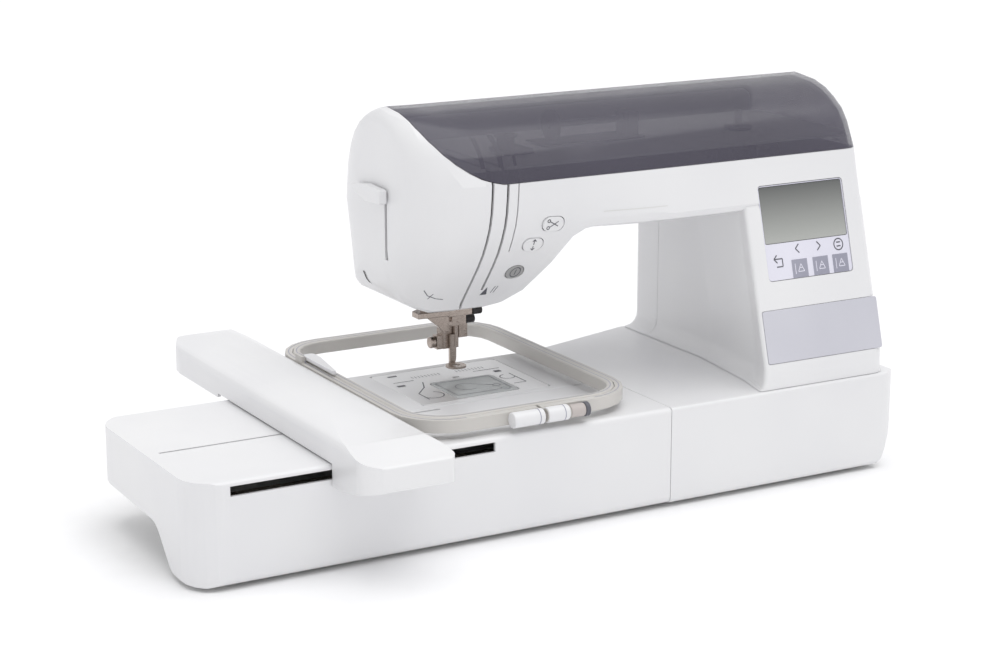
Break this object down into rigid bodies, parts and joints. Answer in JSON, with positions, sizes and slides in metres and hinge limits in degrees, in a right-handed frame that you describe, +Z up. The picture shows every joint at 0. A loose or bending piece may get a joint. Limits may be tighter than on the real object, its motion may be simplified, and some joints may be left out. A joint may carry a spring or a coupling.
{
  "type": "embroidery machine",
  "caption": "Computerised home embroidery machine with embroidery unit, travelling carriage and rectangular hoop under a smoke-lidded arm.",
  "frame": {"origin": "centre of the footprint on the table, under the rubber feet", "axes": "+X to the machine's right, towards the handwheel; +Y to its back; +Z up"},
  "size_m": [0.6208, 0.377, 0.3085],
  "materials": {
    "casing": "glossy moulded white",
    "inner": "satin moulded off-white",
    "smoke": "glossy smoke tint",
    "screen": "glossy grey screen",
    "keypad": "satin keypad film",
    "silver": "satin silver",
    "steel": "brushed",
    "iron": "machined",
    "dark": "satin black",
    "rubber": "matte",
    "hoop": "satin light grey",
    "clear": "clear",
    "grey": "satin grey"
  },
  "bodies": {
    "machine": {"arm_frame": "iron", "arm_front_cover": "casing", "arm_rear_cover": "casing", "arm_top_deck": "inner", "bed_casing": "casing", "bed_floor": "inner", "bobbin_case": "dark", "display_frame": "keypad", "display_glass": "screen", "drive_motor": "iron", "foot_front_right": "rubber", "foot_rear_middle": "rubber", "foot_rear_right": "rubber", "free_arm_casing": "casing", "lamp_lens": "clear", "name_plate": "silver", "needle_plate": "silver", "power_inlet": "dark", "spool_pin": "dark", "thread_guide": "dark", "timing_belt": "rubber", "unit_casing": "casing", "unit_floor": "inner", "unit_foot": "rubber", "unit_guide_rail": "steel"},
    "carriage": {"carriage_cover": "casing", "carriage_base": "inner", "carriage_rail": "steel"},
    "hoop": {"hoop_holder": "inner", "hoop_outer_ring": "hoop", "hoop_inner_ring": "hoop"},
    "hoop_screw": {"hoop_clamp_screw": "grey"},
    "frame_lever": {"frame_lever": "casing"},
    "lid": {"top_lid": "smoke"},
    "upper_shaft": {"main_shaft": "steel", "upper_pulley": "iron", "handwheel": "casing"},
    "lower_drive": {"lower_shaft": "steel", "lower_pulley": "iron"},
    "hook": {"rotary_hook": "steel"},
    "bobbin": {"bobbin": "clear"},
    "needle_bar": {"needle_bar": "steel", "needle_clamp": "steel", "needle": "steel"},
    "needle_screw": {"needle_clamp_screw": "dark"},
    "take_up": {"take_up_lever": "steel"},
    "lifter": {"presser_lifter": "dark"},
    "presser": {"presser_bar": "steel", "foot_holder": "steel", "embroidery_foot": "steel"},
    "foot_screw": {"foot_thumb_screw": "steel"},
    "threader": {"threader_lever": "casing"},
    "start_stop": {"start_stop_button": "grey"},
    "needle_position": {"needle_position_button": "casing"},
    "thread_cutter": {"thread_cutter_button": "casing"},
    "power_rocker": {"power_switch": "dark"},
    "release_button": {"unit_release_lever": "grey"},
    "spool_cap": {"spool_cap": "dark"},
    "winder": {"bobbin_winder": "grey"},
    "bobbin_cover": {"bobbin_cover": "clear"}
  },
  "joints": [
    {"name": "carriage_x", "type": "slide", "parent": "machine", "child": "carriage", "axis": [1, 0, 0], "range_m": [-0.05, 0.08]},
    {"name": "hoop_y", "type": "slide", "parent": "carriage", "child": "hoop", "axis": [0, 1, 0], "range_m": [-0.07, 0.11]},
    {"name": "hoop_clamp_turn", "type": "hinge", "parent": "hoop", "child": "hoop_screw", "pos_m": [0.08955, -0.1298, 0.0905], "axis": [1, 0, 0], "continuous": true},
    {"name": "frame_lever_lift", "type": "hinge", "parent": "hoop", "child": "frame_lever", "pos_m": [-0.12545, 0.0795, 0.0989], "axis": [-1, 0, 0], "range_deg": [0, 28]},
    {"name": "lid_open", "type": "hinge", "parent": "machine", "child": "lid", "pos_m": [0.13955, 0.0655, 0.2889], "axis": [-1, 0, 0], "range_deg": [0, 80]},
    {"name": "handwheel_turn", "type": "hinge", "parent": "machine", "child": "upper_shaft", "pos_m": [0.30155, 0.0285, 0.238], "axis": [1, 0, 0], "continuous": true},
    {"name": "lower_shaft_turn", "type": "hinge", "parent": "machine", "child": "lower_drive", "pos_m": [0.13955, 0.0185, 0.045], "axis": [1, 0, 0], "continuous": true},
    {"name": "hook_turn", "type": "hinge", "parent": "machine", "child": "hook", "pos_m": [-0.01845, -0.0005, 0.065], "axis": [0, 0, 1], "continuous": true},
    {"name": "bobbin_turn", "type": "hinge", "parent": "machine", "child": "bobbin", "pos_m": [-0.01845, -0.0005, 0.068], "axis": [0, 0, 1], "continuous": true},
    {"name": "needle_stroke", "type": "slide", "parent": "machine", "child": "needle_bar", "axis": [0, 0, 1], "range_m": [-0.032, 0]},
    {"name": "needle_screw_turn", "type": "hinge", "parent": "needle_bar", "child": "needle_screw", "pos_m": [-0.00645, 0.0285, 0.127], "axis": [1, 0, 0], "continuous": true},
    {"name": "take_up_swing", "type": "hinge", "parent": "machine", "child": "take_up", "pos_m": [-0.03345, -0.0005, 0.205], "axis": [1, 0, 0], "range_deg": [0, 34]},
    {"name": "presser_lower", "type": "hinge", "parent": "machine", "child": "lifter", "pos_m": [-0.01045, 0.0625, 0.169], "axis": [1, 0, 0], "range_deg": [-60, 0]},
    {"name": "presser_stroke", "type": "slide", "parent": "machine", "child": "presser", "axis": [0, 0, 1], "range_m": [-0.0065, 0]},
    {"name": "foot_screw_turn", "type": "hinge", "parent": "presser", "child": "foot_screw", "pos_m": [-0.03245, 0.0415, 0.1075], "axis": [1, 0, 0], "continuous": true},
    {"name": "threader_pull", "type": "slide", "parent": "machine", "child": "threader", "axis": [0, 0, 1], "range_m": [-0.045, 0], "stiffness_N_per_m": 25, "springref_m": 0.02},
    {"name": "start_stop_press", "type": "slide", "parent": "machine", "child": "start_stop", "axis": [0, 0.7723, 0.6353], "range_m": [0, 0.0012], "stiffness_N_per_m": 400, "springref_m": -0.0004},
    {"name": "needle_position_press", "type": "slide", "parent": "machine", "child": "needle_position", "axis": [0, 0.8839, 0.4678], "range_m": [0, 0.0012], "stiffness_N_per_m": 400, "springref_m": -0.0004},
    {"name": "thread_cutter_press", "type": "slide", "parent": "machine", "child": "thread_cutter", "axis": [0, 0.9593, 0.2824], "range_m": [0, 0.0012], "stiffness_N_per_m": 400, "springref_m": -0.0004},
    {"name": "power_rock", "type": "hinge", "parent": "machine", "child": "power_rocker", "pos_m": [0.28995, 0.0105, 0.035], "axis": [0, 1, 0], "range_deg": [-5, 5]},
    {"name": "unit_release_press", "type": "slide", "parent": "machine", "child": "release_button", "axis": [0, 0, 1], "range_m": [0, 0.002], "stiffness_N_per_m": 400, "springref_m": -0.0015},
    {"name": "spool_cap_slide", "type": "slide", "parent": "machine", "child": "spool_cap", "axis": [1, 0, 0], "range_m": [0, 0.06]},
    {"name": "winder_turn", "type": "hinge", "parent": "machine", "child": "winder", "pos_m": [0.21695, -0.0195, 0.266], "axis": [0, 0, 1], "continuous": true},
    {"name": "bobbin_cover_pop", "type": "slide", "parent": "machine", "child": "bobbin_cover", "axis": [0, 0, 1], "range_m": [0, 0.0015]}
  ],
  "couplings": [
    {"joint": "lower_shaft_turn", "follows": "handwheel_turn", "ratio": 1},
    {"joint": "hook_turn", "follows": "handwheel_turn", "ratio": 2},
    {"joint": "take_up_swing", "follows": "needle_stroke", "rad_per_m": -18.5},
    {"joint": "presser_lower", "follows": "presser_stroke", "rad_per_m": 161}
  ]
}
